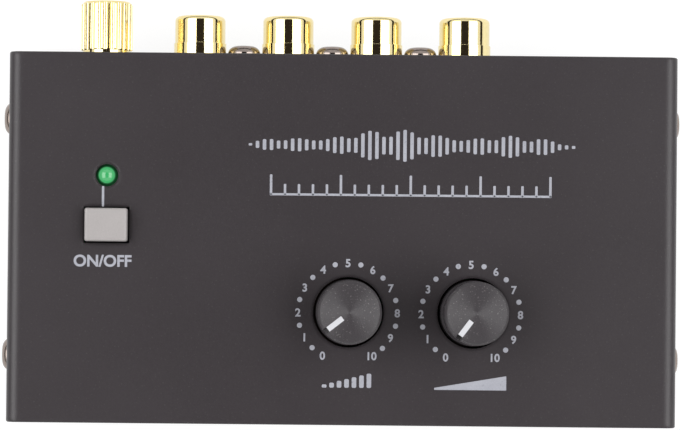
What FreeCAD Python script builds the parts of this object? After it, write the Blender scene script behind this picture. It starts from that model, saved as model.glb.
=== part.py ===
import FreeCAD, Part
import os
import re

import Sketcher

# A small phono preamp: a folded steel case with two dials, a latching power button and a lamp on top,
# and four signal sockets, a ground post and a power inlet at the back.
# Millimetres. X runs to the right of the dials, +Y to the rear sockets, +Z up. The origin is on the
# surface that the feet stand on, under the middle of the whole object.

SIZES = {
    # Folded case
    "cover_width": 108.0, "cover_depth": 59.8, "case_height": 27.0, "sheet": 0.8,
    "bend_radius": 1.8, "edge_radius": 0.3, "cover_gap": 0.1, "panel_inset": 0.2,
    "foot_height": 3.0, "foot_radius": 5.0, "foot_draft": 0.6, "foot_inset_x": 18.0, "foot_inset_y": 8.0,
    "ear_width": 10.0, "ear_margin": 4.5, "side_screw_height": 13.5,
    "side_screw_front": 10.7, "side_screw_rear": 10.2,
    # Screws
    "screw_radius": 1.5, "screw_clearance": 0.3, "thread_fit": 0.05, "head_radius": 2.7,
    "head_height": 1.7, "rear_head_height": 2.2, "head_rounding": 1.4,
    "recess_span": 2.8, "recess_width": 0.6, "recess_depth": 1.0,
    "side_screw_length": 5.5, "board_screw_length": 3.6, "floor_screw_length": 3.0, "jack_screw_length": 7.0,
    # Circuit board on its spacers
    "board_side_gap": 4.1, "board_front_gap": 5.3, "board_thickness": 1.6, "board_setback": 0.5,
    "grid_from_panel": 26.5, "board_hole_inset": 4.0, "spacer_height": 5.0, "spacer_radius": 2.9,
    "lead_width": 0.6, "lead_tail": 1.4, "lead_hole": 0.55, "grid": 2.54,
    # Dials
    "level_x": 1.1, "knob_pitch": 20.0, "knob_from_front": 18.2, "level_angle": 231.9, "volume_angle": 216.9,
    "knob_rise": 12.0, "knob_sink": 3.0, "knob_base_radius": 5.35, "knob_top_radius": 5.05,
    "knob_edge": 0.35, "knob_dish": 0.15, "knob_dish_radius": 4.4, "knob_hole_gap": 0.33,
    "knob_bore_depth": 10.2, "knob_bore_fit": 0.05, "knob_skirt_radius": 4.4, "knob_skirt_depth": 2.4,
    "pointer_width": 0.85, "pointer_inner": 1.45, "pointer_outer": 4.35, "pointer_depth": 0.5,
    "notch_depth": 1.8,
    # Potentiometers
    "pot_width": 9.8, "pot_depth": 11.0, "pot_height": 5.6, "pot_plate": 0.8, "pot_well_radius": 4.2,
    "pot_well_depth": 3.6, "shaft_radius": 3.0, "shaft_fit": 0.05, "shaft_flat": 1.5,
    "bushing_radius": 3.5, "bushing_height": 5.0, "bushing_flange_radius": 4.4, "bushing_flange": 0.8,
    "wiper_gap": 0.3, "wiper_thickness": 1.0, "pot_leg_width": 3.0, "pot_leg": 0.5, "terminal_rise": 2.0,
    # Power button and its switch
    "button_from_side": 16.0, "button_from_rear": 27.9, "cap_width": 6.85, "cap_depth": 5.35,
    "cap_height": 9.0,
    "cap_rise": 2.4, "cap_edge": 0.4, "cap_corner": 0.35, "cap_hole_gap": 0.25, "socket_depth": 2.5,
    "switch_side": 8.5, "switch_height": 7.6, "switch_floor": 1.2, "plunger_side": 3.6, "plunger_gap": 0.3,
    "spring_length": 3.4, "spring_radius": 1.4, "spring_bore": 1.0, "switch_pin_pitch": 2.5,
    # Lamp
    "lamp_from_side": 16.0, "lamp_from_rear": 19.9, "lamp_radius": 1.5, "lamp_rise": 1.1, "lamp_body": 3.6,
    "lamp_flange_radius": 1.9, "lamp_flange": 1.0, "lamp_hole_gap": 0.3, "lamp_lead_pitch": 2.0,
    "lamp_lead_width": 0.5, "lamp_spacer_radius": 2.4, "lamp_spacer_bore": 1.6,
    # Signal sockets
    "jack_group_x": -1.75, "jack_pitch": 14.5, "jack_above_board": 8.6, "barrel_radius": 4.15,
    "barrel_step": 0.16, "barrel_step_length": 2.3, "barrel_bore": 3.2, "barrel_reach": 6.8,
    "barrel_rooting": 4.0, "barrel_rounding": 0.8, "barrel_hole_gap": 0.29, "socket_fit": 0.05,
    "jack_block_width": 54.0, "jack_block_depth": 12.0, "jack_block_height": 14.6,
    "insert_recess": 1.2, "contact_bore": 1.6, "contact_bore_depth": 7.5, "contact_radius": 0.8,
    # Ground post
    "ground_from_side": 15.1, "ground_reach": 9.0, "post_radius": 2.0, "post_fit": 0.05, "post_end_gap": 0.3,
    "post_tail": 1.0, "nut_radius": 4.25, "nut_chamfer": 0.5, "nut_cap": 1.2, "flute_radius": 0.45,
    "flute_offset": 0.2, "flute_count": 24.0, "clamp_radius": 3.9, "clamp_thickness": 0.6,
    "clamp_gap": 0.3, "bush_radius": 4.0, "bush_flange": 0.6, "bush_spigot": 2.8, "bush_fit": 0.1,
    "tag_radius": 3.6, "tag_thickness": 0.5, "tag_width": 2.0, "lock_nut_radius": 3.8, "lock_nut": 2.4,
    # Power inlet
    "inlet_from_side": 17.5, "inlet_width": 9.0, "inlet_depth": 14.0, "inlet_height": 11.0,
    "inlet_above_board": 6.5, "inlet_bore": 3.1, "inlet_bore_depth": 10.0, "inlet_pin": 1.0,
    "inlet_pin_recess": 0.8, "inlet_hole": 4.0,
    # Parts on the board
    "chip_length": 9.6, "chip_width": 6.35, "chip_height": 3.3, "chip_lift": 0.5, "chip_notch": 0.8,
    "chip_row": 3.81, "can_radius": 3.15, "can_height": 7.0, "can_groove": 0.25, "can_lead_pitch": 2.5,
    "film_length": 7.2, "film_width": 2.6, "film_height": 6.5, "film_lead_pitch": 5.0,
    "resistor_radius": 1.15, "resistor_waist": 0.95, "resistor_length": 6.3, "resistor_lift": 0.3,
    "diode_radius": 1.35, "diode_length": 5.2, "wire_reach": 1.9,
}

# Places worked out from the sizes
FRONT = "(-(cover_depth + ground_reach) / 2)"
REAR = "((cover_depth - ground_reach) / 2)"
MIDDLE = "(-ground_reach / 2)"
FLOOR = "(foot_height + sheet)"
TOP = "(foot_height + case_height)"
CEILING = f"({TOP} - sheet)"
PANEL_OUT = f"({REAR} - panel_inset)"
PANEL_IN = f"({PANEL_OUT} - sheet)"
BOARD_UNDER = f"({FLOOR} + spacer_height)"
BOARD_TOP = f"({BOARD_UNDER} + board_thickness)"
BOARD_REAR = f"({PANEL_IN} - board_setback)"
BOARD_DEPTH = f"({BOARD_REAR} - {FRONT} - panel_inset - sheet - board_front_gap)"
BOARD_Y = f"({BOARD_REAR} - {BOARD_DEPTH} / 2)"
GRID_Y = f"({PANEL_IN} - grid_from_panel)"
CHASSIS_WIDTH = "(cover_width - 2 * sheet - 2 * cover_gap)"
BOARD_WIDTH = f"({CHASSIS_WIDTH} - 2 * board_side_gap)"
BUTTON_X = "(button_from_side - cover_width / 2)"
LAMP_X = "(lamp_from_side - cover_width / 2)"
GROUND_X = "(ground_from_side - cover_width / 2)"
INLET_X = "(cover_width / 2 - inlet_from_side)"
SCREW_Z = "(foot_height + side_screw_height)"
SCREW_YS = (f"({FRONT} + side_screw_front)", f"({REAR} - side_screw_rear)")
KNOB_Y = f"({FRONT} + knob_from_front)"
KNOB_TOP = f"({TOP} + knob_rise)"
KNOB_BOTTOM = f"({TOP} - knob_sink)"
POT_TOP = f"({BOARD_TOP} + pot_height)"
WELL_FLOOR = f"({POT_TOP} - pot_well_depth)"
BUTTON_Y = f"({REAR} - button_from_rear)"
CAP_TOP = f"({TOP} + cap_rise)"
CAP_BOTTOM = f"({CAP_TOP} - cap_height)"
SPRING_FOOT = f"({BOARD_TOP} + switch_floor)"
PLUNGER_FOOT = f"({SPRING_FOOT} + spring_length)"
LAMP_Y = f"({REAR} - lamp_from_rear)"
LAMP_FOOT = f"({TOP} + lamp_rise - lamp_radius - lamp_body)"
JACK_Z = f"({BOARD_TOP} + jack_above_board)"
JACK_XS = [f"(jack_group_x + ({k}) * jack_pitch)" for k in (-1.5, -0.5, 0.5, 1.5)]
JACK_SCREW_XS = [f"(jack_group_x + ({k}) * jack_pitch)" for k in (-1, 0, 1)]
BARREL_ROOT = f"({PANEL_IN} - barrel_rooting)"
BARREL_LENGTH = f"({REAR} + barrel_reach - {BARREL_ROOT})"
INLET_Z = f"({BOARD_TOP} + inlet_above_board)"
BUSH_OUT = f"({PANEL_OUT} + bush_flange)"
NUT_FOOT = f"({BUSH_OUT} + clamp_thickness)"
NUT_LENGTH = f"({REAR} + ground_reach - {NUT_FOOT})"
TAG_Y = f"({PANEL_IN} - bush_flange)"
LOCK_NUT_Y = f"({TAG_Y} - tag_thickness)"
CHIP_Z = f"({BOARD_TOP} + chip_lift)"

# Where the parts stand on the board, in steps of the board's grid
CHIPS = ((-4, 1), (5.5, 1))
CANS = ((-8.5, 1), (1, 1), (10.5, 1), (14, -1), (17, -1), (14, -5))
FILMS = ((-4, 4), (5.5, 4), (-9, 4), (1, 4), (-4, -2.2), (-9, -2.2))
RESISTORS = tuple((x, y) for x in (-10, -5) for y in (-3.6, -4.8, -6, -7.2))
DIODE = (13, -7)

# Directions that a piece's own Z axis is turned to
UP = FreeCAD.Rotation()
DOWN = FreeCAD.Rotation(FreeCAD.Vector(1, 0, 0), 180)
BACK = FreeCAD.Rotation(FreeCAD.Vector(1, 0, 0), -90)
FORWARD = FreeCAD.Rotation(FreeCAD.Vector(1, 0, 0), 90)
LEFT = FreeCAD.Rotation(FreeCAD.Vector(0, 1, 0), -90)
RIGHT = FreeCAD.Rotation(FreeCAD.Vector(0, 1, 0), 90)
TURNED_ROUND = FreeCAD.Rotation(FreeCAD.Vector(0, 0, 1), 180)

doc = FreeCAD.newDocument("PhonoPreamp")
sheet = doc.addObject("Spreadsheet::Sheet", "Sizes")
for row, (alias, size) in enumerate(SIZES.items(), start=1):
    sheet.set(f"A{row}", alias)
    sheet.set(f"B{row}", str(size))
    sheet.setAlias(f"B{row}", alias)
doc.recompute()

nodes = []
board_holes = []


def formula(text):
    """The text with each named size turned into its cell on the sheet."""
    return re.sub(r"[a-z][a-z_]*", lambda m: f"Sizes.{m[0]}" if m[0] in SIZES else m[0], text)


def number(text):
    """What a text of named sizes comes to now."""
    return float(sheet.evalExpression(formula(text)))


def bind(item, **texts):
    """Ties properties of an object to named sizes."""
    for name, text in texts.items():
        item.setExpression(name, formula(text))
    return item


def place(item, x="0", y="0", z="0", turn=UP):
    """Puts an object's own origin at a place, with its Z axis turned."""
    item.Placement = FreeCAD.Placement(FreeCAD.Vector(), turn)
    for axis, text in zip("xyz", (x, y, z)):
        item.setExpression(f"Placement.Base.{axis}", formula(text))
    return item


def node(item, label):
    """Names a finished sub-part."""
    item.Label = label
    nodes.append(item)
    return item


def block(name, length, width, height, x="0", y="0", z="0"):
    """A box centred on x and y that stands on z."""
    item = bind(doc.addObject("Part::Box", name), Length=length, Width=width, Height=height)
    return place(item, f"{x} - ({length}) / 2", f"{y} - ({width}) / 2", z)


def rod(name, radius, length, x="0", y="0", z="0", turn=UP):
    """A cylinder that starts at a place and runs along its turned axis."""
    item = bind(doc.addObject("Part::Cylinder", name), Radius=radius, Height=length)
    return place(item, x, y, z, turn)


def cut(name, base, tools):
    """A piece with other solids taken out of it."""
    item = doc.addObject("Part::Cut", name)
    item.Base = base
    item.Tool = tools[0] if len(tools) == 1 else group(name + "Tools", tools)
    return item


def fuse(name, pieces):
    """Pieces made into one solid."""
    item = doc.addObject("Part::MultiFuse", name)
    item.Shapes = pieces
    item.Refine = True
    return item


def group(name, pieces):
    """Separate solids that share one node."""
    item = doc.addObject("Part::Compound", name)
    item.Links = pieces
    return item


def copy_of(master, name, x, y, z, turn=UP):
    """The same piece again at another place."""
    item = doc.addObject("App::Link", name)
    item.LinkedObject = master
    return place(item, x, y, z, turn)


def sketch_on(body, name, role):
    """An empty sketch on one of the body's own planes."""
    sketch = body.newObject("Sketcher::SketchObject", name)
    plane = next(f for f in body.Origin.OriginFeatures if f.Role == role)
    sketch.AttachmentSupport = [(plane, "")]
    sketch.MapMode = "FlatFace"
    return sketch


def draw(sketch, corners):
    """A closed outline through corners given as pairs of texts, each corner tied to the sizes."""
    spots = [FreeCAD.Vector(number(a), number(b), 0) for a, b in corners]
    count = len(spots)
    for i in range(count):
        sketch.addGeometry(Part.LineSegment(spots[i], spots[(i + 1) % count]), False)
    for i in range(count):
        sketch.addConstraint(Sketcher.Constraint("Coincident", i, 2, (i + 1) % count, 1))
    for i, corner in enumerate(corners):
        for kind, axis, text, at in zip(("DistanceX", "DistanceY"), (-2, -1), corner, spots[i]):
            if text == "0":
                sketch.addConstraint(Sketcher.Constraint("PointOnObject", i, 1, axis))
            else:
                index = sketch.addConstraint(Sketcher.Constraint(kind, -1, 1, i, 1, at))
                sketch.setExpression(f"Constraints[{index}]", formula(text))


def turned(name, corners):
    """A body turned about its Z axis from an outline of (radius, height) corners."""
    body = doc.addObject("PartDesign::Body", name)
    sketch = sketch_on(body, name + "Outline", "XZ_Plane")
    draw(sketch, corners)
    turn = body.newObject("PartDesign::Revolution", name + "Turn")
    turn.Profile = (sketch, [""])
    turn.ReferenceAxis = (sketch, ["V_Axis"])
    turn.Angle = 360
    doc.recompute()
    return body


def folded(name, role, corners, length):
    """A body padded both ways from an outline on one of its planes."""
    body = doc.addObject("PartDesign::Body", name)
    sketch = sketch_on(body, name + "Outline", role)
    draw(sketch, corners)
    pad = body.newObject("PartDesign::Pad", name + "Pad")
    pad.Profile = (sketch, [""])
    pad.Midplane = True
    bind(pad, Length=length)
    doc.recompute()
    return body


def soften(body, name, radius, wanted):
    """Rounds the edges of the body that the test picks out."""
    tip = body.Tip
    names = [f"Edge{i}" for i, edge in enumerate(tip.Shape.Edges, start=1) if wanted(edge)]
    fillet = body.newObject("PartDesign::Fillet", name)
    fillet.Base = (tip, names)
    bind(fillet, Radius=radius)
    doc.recompute()
    return fillet


def along(edge, axis):
    """Whether a straight edge runs along an axis, 0, 1 or 2."""
    if edge.Curve.TypeId != "Part::GeomLine":
        return False
    return abs(abs(edge.tangentAt(edge.FirstParameter)[axis]) - 1) < 1e-6


def at(value, wanted):
    """Whether a coordinate is the wanted one."""
    return abs(value - wanted) < 1e-4


def pan_screw(name, length, height):
    """A cross-recess pan head screw, its head's seat at its own origin and its point downwards."""
    body = turned(name + "Turned", (
        ("0", f"-({length})"), ("screw_radius - 0.4 * thread_fit - 0.3", f"-({length})"),
        ("screw_radius", f"0.5 - ({length})"), ("screw_radius", "0"), ("head_radius", "0"),
        ("head_radius", height), ("0", height)))
    rim, top = number("head_radius"), number(height)
    soften(body, name + "Rounding", "head_rounding",
           lambda e: at(e.BoundBox.ZMin, top) and at(e.BoundBox.XLength, 2 * rim))
    slots = [block(f"{name}Slot{k}", a, b, "2 * recess_depth", "0", "0", f"{height} - recess_depth")
             for k, (a, b) in enumerate((("recess_span", "recess_width"), ("recess_width", "recess_span")))]
    return cut(name, body, slots)


def lead(name, x, y, top, width="lead_width"):
    """A square lead that ends below the board, with its hole in the board."""
    board_holes.append((x, y, "lead_hole"))
    foot = f"({BOARD_UNDER} - lead_tail)"
    return block(name, width, width, f"{top} - {foot}", x, y, foot)


def on_grid(spot):
    """The place on the board of a spot given in grid steps."""
    return f"(({spot[0]}) * grid)", f"({GRID_Y} + ({spot[1]}) * grid)"


def build_cover():
    """The inverted U that makes the top and both sides."""
    half, inner = "cover_width / 2", "cover_width / 2 - sheet"
    body = folded("CoverFold", "XZ_Plane", (
        (f"-({half})", "foot_height"), (f"-({half})", TOP), (half, TOP), (half, "foot_height"),
        (inner, "foot_height"), (inner, CEILING), (f"-({inner})", CEILING), (f"-({inner})", "foot_height"),
    ), "cover_depth")
    top, ceiling = number(TOP), number(CEILING)
    soften(body, "CoverOuterBend", "bend_radius", lambda e: along(e, 1) and at(e.BoundBox.ZMin, top))
    soften(body, "CoverInnerBend", "bend_radius - sheet",
           lambda e: along(e, 1) and at(e.BoundBox.ZMin, ceiling) and e.BoundBox.XMin ** 2 > 1)
    reach, side = number("cover_depth / 2"), number(half)
    soften(body, "CoverEdge", "edge_radius",
           lambda e: at(abs(e.BoundBox.YMin), reach) and e.BoundBox.YLength < 1e-4 and (
               at(e.BoundBox.ZMin, top) or at(abs(e.BoundBox.XMin), side) and at(e.BoundBox.XLength, 0)))
    place(body, "0", MIDDLE, "0")
    tools = [rod(f"KnobHole{k}", "knob_base_radius + knob_hole_gap", "3 * sheet", x, KNOB_Y,
                 f"{TOP} - 2 * sheet") for k, x in enumerate(("level_x", "level_x + knob_pitch"))]
    tools.append(rod("LampHole", "lamp_radius + lamp_hole_gap", "3 * sheet", LAMP_X, LAMP_Y,
                     f"{TOP} - 2 * sheet"))
    tools.append(block("ButtonHole", "cap_width + 2 * cap_hole_gap", "cap_depth + 2 * cap_hole_gap",
                       "3 * sheet", BUTTON_X, BUTTON_Y, f"{TOP} - 2 * sheet"))
    tools += [rod(f"CoverScrewHole{k}", "screw_radius + screw_clearance", "cover_width + 2",
                  "-cover_width / 2 - 1", y, SCREW_Z, RIGHT) for k, y in enumerate(SCREW_YS)]
    node(cut("Cover", body, tools), "cover")


def build_chassis():
    """The U that makes the floor, the front and the rear panel, with four ears for the cover's screws."""
    half = "cover_depth / 2 - panel_inset"
    inner, height = f"{half} - sheet", f"({CEILING} - cover_gap)"
    body = folded("ChassisFold", "YZ_Plane", (
        (f"-({half})", "foot_height"), (half, "foot_height"), (half, height), (inner, height),
        (inner, FLOOR), (f"-({inner})", FLOOR), (f"-({inner})", height), (f"-({half})", height),
    ), CHASSIS_WIDTH)
    base, floor, upper = number("foot_height"), number(FLOOR), number(height)
    side = number(f"{CHASSIS_WIDTH} / 2")
    soften(body, "ChassisOuterBend", "bend_radius", lambda e: along(e, 0) and at(e.BoundBox.ZMin, base))
    soften(body, "ChassisInnerBend", "bend_radius - sheet",
           lambda e: along(e, 0) and at(e.BoundBox.ZMin, floor))
    soften(body, "ChassisCorner", "bend_radius",
           lambda e: along(e, 1) and at(e.BoundBox.ZMin, upper) and at(abs(e.BoundBox.XMin), side))
    place(body, "0", MIDDLE, "0")
    ears = [block(f"Ear{s}{k}", "sheet", "ear_width", "side_screw_height + ear_margin",
                  f"({s} * ({CHASSIS_WIDTH} - sheet) / 2)", y, "foot_height")
            for s in (-1, 1) for k, y in enumerate(SCREW_YS)]
    for ear in ears:
        ear.Label = ear.Name
    shell = fuse("ChassisShell", [body] + ears)
    tools = [rod(f"EarHole{k}", "screw_radius + thread_fit", "cover_width", "-cover_width / 2", y, SCREW_Z,
                 RIGHT) for k, y in enumerate(SCREW_YS)]
    behind = f"{PANEL_IN} - sheet"
    tools += [rod(f"BarrelHole{k}", "barrel_radius + barrel_step + barrel_hole_gap", "3 * sheet", x,
                  behind, JACK_Z, BACK) for k, x in enumerate(JACK_XS)]
    tools += [rod(f"JackScrewHole{k}", "screw_radius + screw_clearance", "3 * sheet", x, behind, JACK_Z, BACK)
              for k, x in enumerate(JACK_SCREW_XS)]
    tools.append(rod("GroundHole", "bush_spigot + bush_fit", "3 * sheet", GROUND_X, behind, JACK_Z, BACK))
    tools.append(rod("InletHole", "inlet_hole", "3 * sheet", INLET_X, behind, INLET_Z, BACK))
    tools += [rod(f"FloorHole{k}", "screw_radius + screw_clearance", "3 * sheet", x, y, "foot_height - sheet")
              for k, (x, y) in enumerate(board_corners())]
    node(cut("Chassis", shell, tools), "chassis")


def board_corners():
    """The four places where the board is screwed down."""
    reach_x, reach_y = f"({BOARD_WIDTH} / 2 - board_hole_inset)", f"({BOARD_DEPTH} / 2 - board_hole_inset)"
    return [(f"({s} * {reach_x})", f"({BOARD_Y} + {t} * {reach_y})") for s in (-1, 1) for t in (-1, 1)]


def build_feet():
    """Four stick-on rubber feet."""
    foot = turned("Foot", (("0", "0"), ("foot_radius - foot_draft", "0"),
                           ("foot_radius", "foot_height"), ("0", "foot_height")))
    ys = (f"({FRONT} + foot_inset_y)", f"({REAR} - foot_inset_y)")
    feet = [copy_of(foot, f"Foot{s}{k}", f"({s} * (cover_width / 2 - foot_inset_x))", y, "0")
            for s in (-1, 1) for k, y in enumerate(ys)]
    node(group("Feet", feet), "rubber_feet")


def build_board_fixing():
    """Hex spacers under the board, screws up through the floor and screws down through the board."""
    tube = doc.addObject("Part::Prism", "SpacerHex")
    tube.Polygon = 6
    bind(tube, Circumradius="spacer_radius", Height="spacer_height")
    bore = rod("SpacerBore", "screw_radius + thread_fit", "spacer_height + 2", "0", "0", "-1")
    spacer = cut("Spacer", tube, [bore])
    lower = pan_screw("FloorScrew", "floor_screw_length", "head_height")
    upper = pan_screw("BoardScrew", "board_screw_length", "head_height")
    spots = list(enumerate(board_corners()))
    node(group("Spacers", [copy_of(spacer, f"Spacer{k}", x, y, FLOOR) for k, (x, y) in spots]),
         "board_spacers")
    node(group("FloorScrews", [copy_of(lower, f"FloorScrew{k}", x, y, "foot_height", DOWN)
                               for k, (x, y) in spots]), "spacer_screws")
    node(group("BoardScrews", [copy_of(upper, f"BoardScrew{k}", x, y, BOARD_TOP) for k, (x, y) in spots]),
         "board_screws")


def build_cover_screws():
    """Two screws through each side of the cover into the ears."""
    screw = pan_screw("CoverScrew", "side_screw_length", "head_height")
    copies = [copy_of(screw, f"CoverScrew{s}{k}", f"({s} * cover_width / 2)", y, SCREW_Z, turn)
              for s, turn in ((-1, LEFT), (1, RIGHT)) for k, y in enumerate(SCREW_YS)]
    node(group("CoverScrews", copies), "cover_screws")


def d_section(name, radius, length, flat):
    """A rod with one flat on the side that the pointer is on."""
    stock = rod(name + "Stock", radius, length)
    side = block(name + "Side", f"4 * ({radius})", f"2 * ({radius})", f"({length}) + 2", "0",
                 f"2 * ({radius}) - ({flat})", "-1")
    return cut(name, stock, [side])


def build_dial(label, x, angle):
    """One potentiometer with its shaft, knob and pointer, turned to where the pointer stands."""
    name = label.capitalize()
    turn = FreeCAD.Rotation(FreeCAD.Vector(0, 0, 1), -1)

    def set_down(item, z):
        place(item, x, KNOB_Y, z, turn)
        item.setExpression("Placement.Rotation.Angle", formula(f"360 - {angle}"))
        return item

    height = "knob_rise + knob_sink"
    body = turned(name + "KnobTurned", (
        ("0", "0"), ("knob_base_radius", "0"), ("knob_top_radius", f"{height} - knob_edge"),
        ("knob_top_radius - knob_edge", height), ("knob_dish_radius", height),
        ("0", f"{height} - knob_dish")))
    bore = d_section(name + "KnobBore", "shaft_radius + knob_bore_fit", "knob_bore_depth + 1",
                     "shaft_flat")
    place(bore, "0", "0", "-1")
    skirt = rod(name + "Skirt", "knob_skirt_radius", "knob_skirt_depth + 1", "0", "0", "-1")
    groove_length = "(knob_base_radius - pointer_inner + 1)"
    groove = block(name + "Groove", "pointer_width", groove_length, "2 * pointer_depth", "0",
                   f"pointer_inner + {groove_length} / 2", f"{height} - pointer_depth")
    notch_length = "(knob_base_radius - pointer_outer + 1)"
    notch = block(name + "Notch", "pointer_width", notch_length, "2 * notch_depth", "0",
                  f"pointer_outer + {notch_length} / 2", f"{height} - notch_depth")
    node(set_down(cut(name + "Knob", body, [bore, skirt, groove, notch]), KNOB_BOTTOM), f"{label}_knob")

    line = block(name + "Line", "pointer_width", "pointer_outer - pointer_inner", "pointer_depth",
                 "0", "(pointer_outer + pointer_inner) / 2", "0")
    node(set_down(group(name + "Pointer", [line]), f"{KNOB_TOP} - pointer_depth"), f"{label}_pointer")

    wiper_z = f"({WELL_FLOOR} + wiper_gap)"
    shaft_foot = f"({wiper_z} + wiper_thickness)"
    plain = f"({KNOB_BOTTOM} - {shaft_foot})"
    lower = rod(name + "ShaftLower", "shaft_radius", plain)
    upper = d_section(name + "ShaftUpper", "shaft_radius", "knob_bore_depth", "shaft_flat + knob_bore_fit")
    place(upper, "0", "0", plain)
    node(set_down(fuse(name + "Shaft", [lower, upper]), shaft_foot), f"{label}_shaft")
    disc_radius = "pot_well_radius - wiper_gap"
    disc = turned(name + "Disc", (("0", "0"), (disc_radius, "0"), (disc_radius, "wiper_thickness"),
                                  ("0", "wiper_thickness")))
    node(set_down(group(name + "Wiper", [disc]), wiper_z), f"{label}_wiper")

    case = block(name + "PotBlock", "pot_width", "pot_depth", "pot_height", x, KNOB_Y, BOARD_TOP)
    well = rod(name + "PotWell", "pot_well_radius", "pot_well_depth + 1", x, KNOB_Y, WELL_FLOOR)
    node(cut(name + "PotBody", case, [well]), f"{label}_pot_body")

    plate = block(name + "Plate", "pot_width + 2 * pot_leg", "pot_depth", "pot_plate", x, KNOB_Y, POT_TOP)
    legs = []
    for s in (-1, 1):
        leg_x = f"({x} + {s} * (pot_width + pot_leg) / 2)"
        board_holes.append((leg_x, KNOB_Y, "pot_leg_width / 2 + 0.2"))
        legs.append(block(f"{name}Leg{s}", "pot_leg", "pot_leg_width",
                          f"{POT_TOP} + pot_plate - {BOARD_UNDER} + lead_tail", leg_x, KNOB_Y,
                          f"({BOARD_UNDER} - lead_tail)"))
    way = rod(name + "PlateHole", "shaft_radius + 0.3", "3 * pot_plate", x, KNOB_Y, f"{POT_TOP} - pot_plate")
    node(cut(name + "PotFrame", fuse(name + "FrameStock", [plate] + legs), [way]), f"{label}_pot_frame")

    rise = "bushing_flange + bushing_height"
    bore_radius = "shaft_radius + shaft_fit"
    tube = turned(name + "Bushing", (
        (bore_radius, "0"), ("bushing_flange_radius", "0"), ("bushing_flange_radius", "bushing_flange"),
        ("bushing_radius", "bushing_flange"), ("bushing_radius", f"{rise} - 0.2"),
        (f"({bore_radius} + bushing_radius) / 2", rise), (bore_radius, rise)))
    node(place(group(name + "BushingPlaced", [tube]), x, KNOB_Y, f"({POT_TOP} + pot_plate)"),
         f"{label}_bushing")

    pins = [lead(f"{name}Terminal{k}", f"({x} + ({k}) * grid)",
                 f"({KNOB_Y} - pot_depth / 2 - lead_width / 2)", f"({BOARD_TOP} + terminal_rise)")
            for k in (-1, 0, 1)]
    node(group(name + "Terminals", pins), f"{label}_terminals")


def build_button():
    """The latching power switch with its plunger, return spring and cap."""
    half_x, half_y = "cap_width / 2", "cap_depth / 2"
    body = folded("CapPad", "XY_Plane", (
        (f"-{half_x}", f"-{half_y}"), (half_x, f"-{half_y}"), (half_x, half_y), (f"-{half_x}", half_y),
    ), "cap_height")
    top = number("cap_height / 2")
    soften(body, "CapCorners", "cap_corner", lambda e: along(e, 2))
    soften(body, "CapEdge", "cap_edge", lambda e: at(e.BoundBox.ZMin, top) and at(e.BoundBox.ZMax, top))
    place(body, BUTTON_X, BUTTON_Y, f"{CAP_TOP} - cap_height / 2")
    socket = block("CapSocket", "plunger_side", "plunger_side", "socket_depth + 1", BUTTON_X, BUTTON_Y,
                   f"({CAP_BOTTOM} - 1)")
    node(cut("Cap", body, [socket]), "power_button_cap")
    node(group("PlungerNode", [block("Plunger", "plunger_side", "plunger_side",
                                     f"{CAP_BOTTOM} + socket_depth - {PLUNGER_FOOT}", BUTTON_X, BUTTON_Y,
                                     PLUNGER_FOOT)]), "power_switch_plunger")
    case = block("SwitchBlock", "switch_side", "switch_side", "switch_height", BUTTON_X, BUTTON_Y,
                 BOARD_TOP)
    well = block("SwitchWell", "plunger_side + 2 * plunger_gap", "plunger_side + 2 * plunger_gap",
                 "switch_height", BUTTON_X, BUTTON_Y, SPRING_FOOT)
    node(cut("SwitchBody", case, [well]), "power_switch_body")
    coil = turned("Spring", (("spring_bore", "0"), ("spring_radius", "0"),
                             ("spring_radius", "spring_length"), ("spring_bore", "spring_length")))
    node(place(group("SpringNode", [coil]), BUTTON_X, BUTTON_Y, SPRING_FOOT), "power_switch_spring")
    pins = [lead(f"SwitchPin{s}{k}", f"({BUTTON_X} + ({k}) * switch_pin_pitch)",
                 f"({BUTTON_Y} + ({s}) * switch_pin_pitch)", BOARD_TOP)
            for s in (-1, 1) for k in (-1, 0, 1)]
    node(group("SwitchPins", pins), "power_switch_terminals")


def build_lamp():
    """The power lamp, its leads and the tube that holds it up to the cover."""
    body = turned("LampTurned", (
        ("0", "0"), ("lamp_flange_radius", "0"), ("lamp_flange_radius", "lamp_flange"),
        ("lamp_radius", "lamp_flange"), ("lamp_radius", "lamp_body + lamp_radius"),
        ("0", "lamp_body + lamp_radius")))
    rim, top = number("lamp_radius"), number("lamp_body + lamp_radius")
    soften(body, "LampDome", "lamp_radius - 0.05",
           lambda e: at(e.BoundBox.ZMin, top) and at(e.BoundBox.XLength, 2 * rim))
    node(place(group("Lamp", [body]), LAMP_X, LAMP_Y, LAMP_FOOT), "led_lens")
    legs = [lead(f"LampLeg{s}", f"({LAMP_X} + ({s}) * lamp_lead_pitch / 2)", LAMP_Y, LAMP_FOOT,
                 "lamp_lead_width") for s in (-1, 1)]
    node(group("LampLegs", legs), "led_leads")
    height = f"{LAMP_FOOT} - {BOARD_TOP}"
    tube = turned("LampTube", (("lamp_spacer_bore", "0"), ("lamp_spacer_radius", "0"),
                               ("lamp_spacer_radius", height), ("lamp_spacer_bore", height)))
    node(place(group("LampSpacer", [tube]), LAMP_X, LAMP_Y, BOARD_TOP), "led_spacer")


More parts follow.
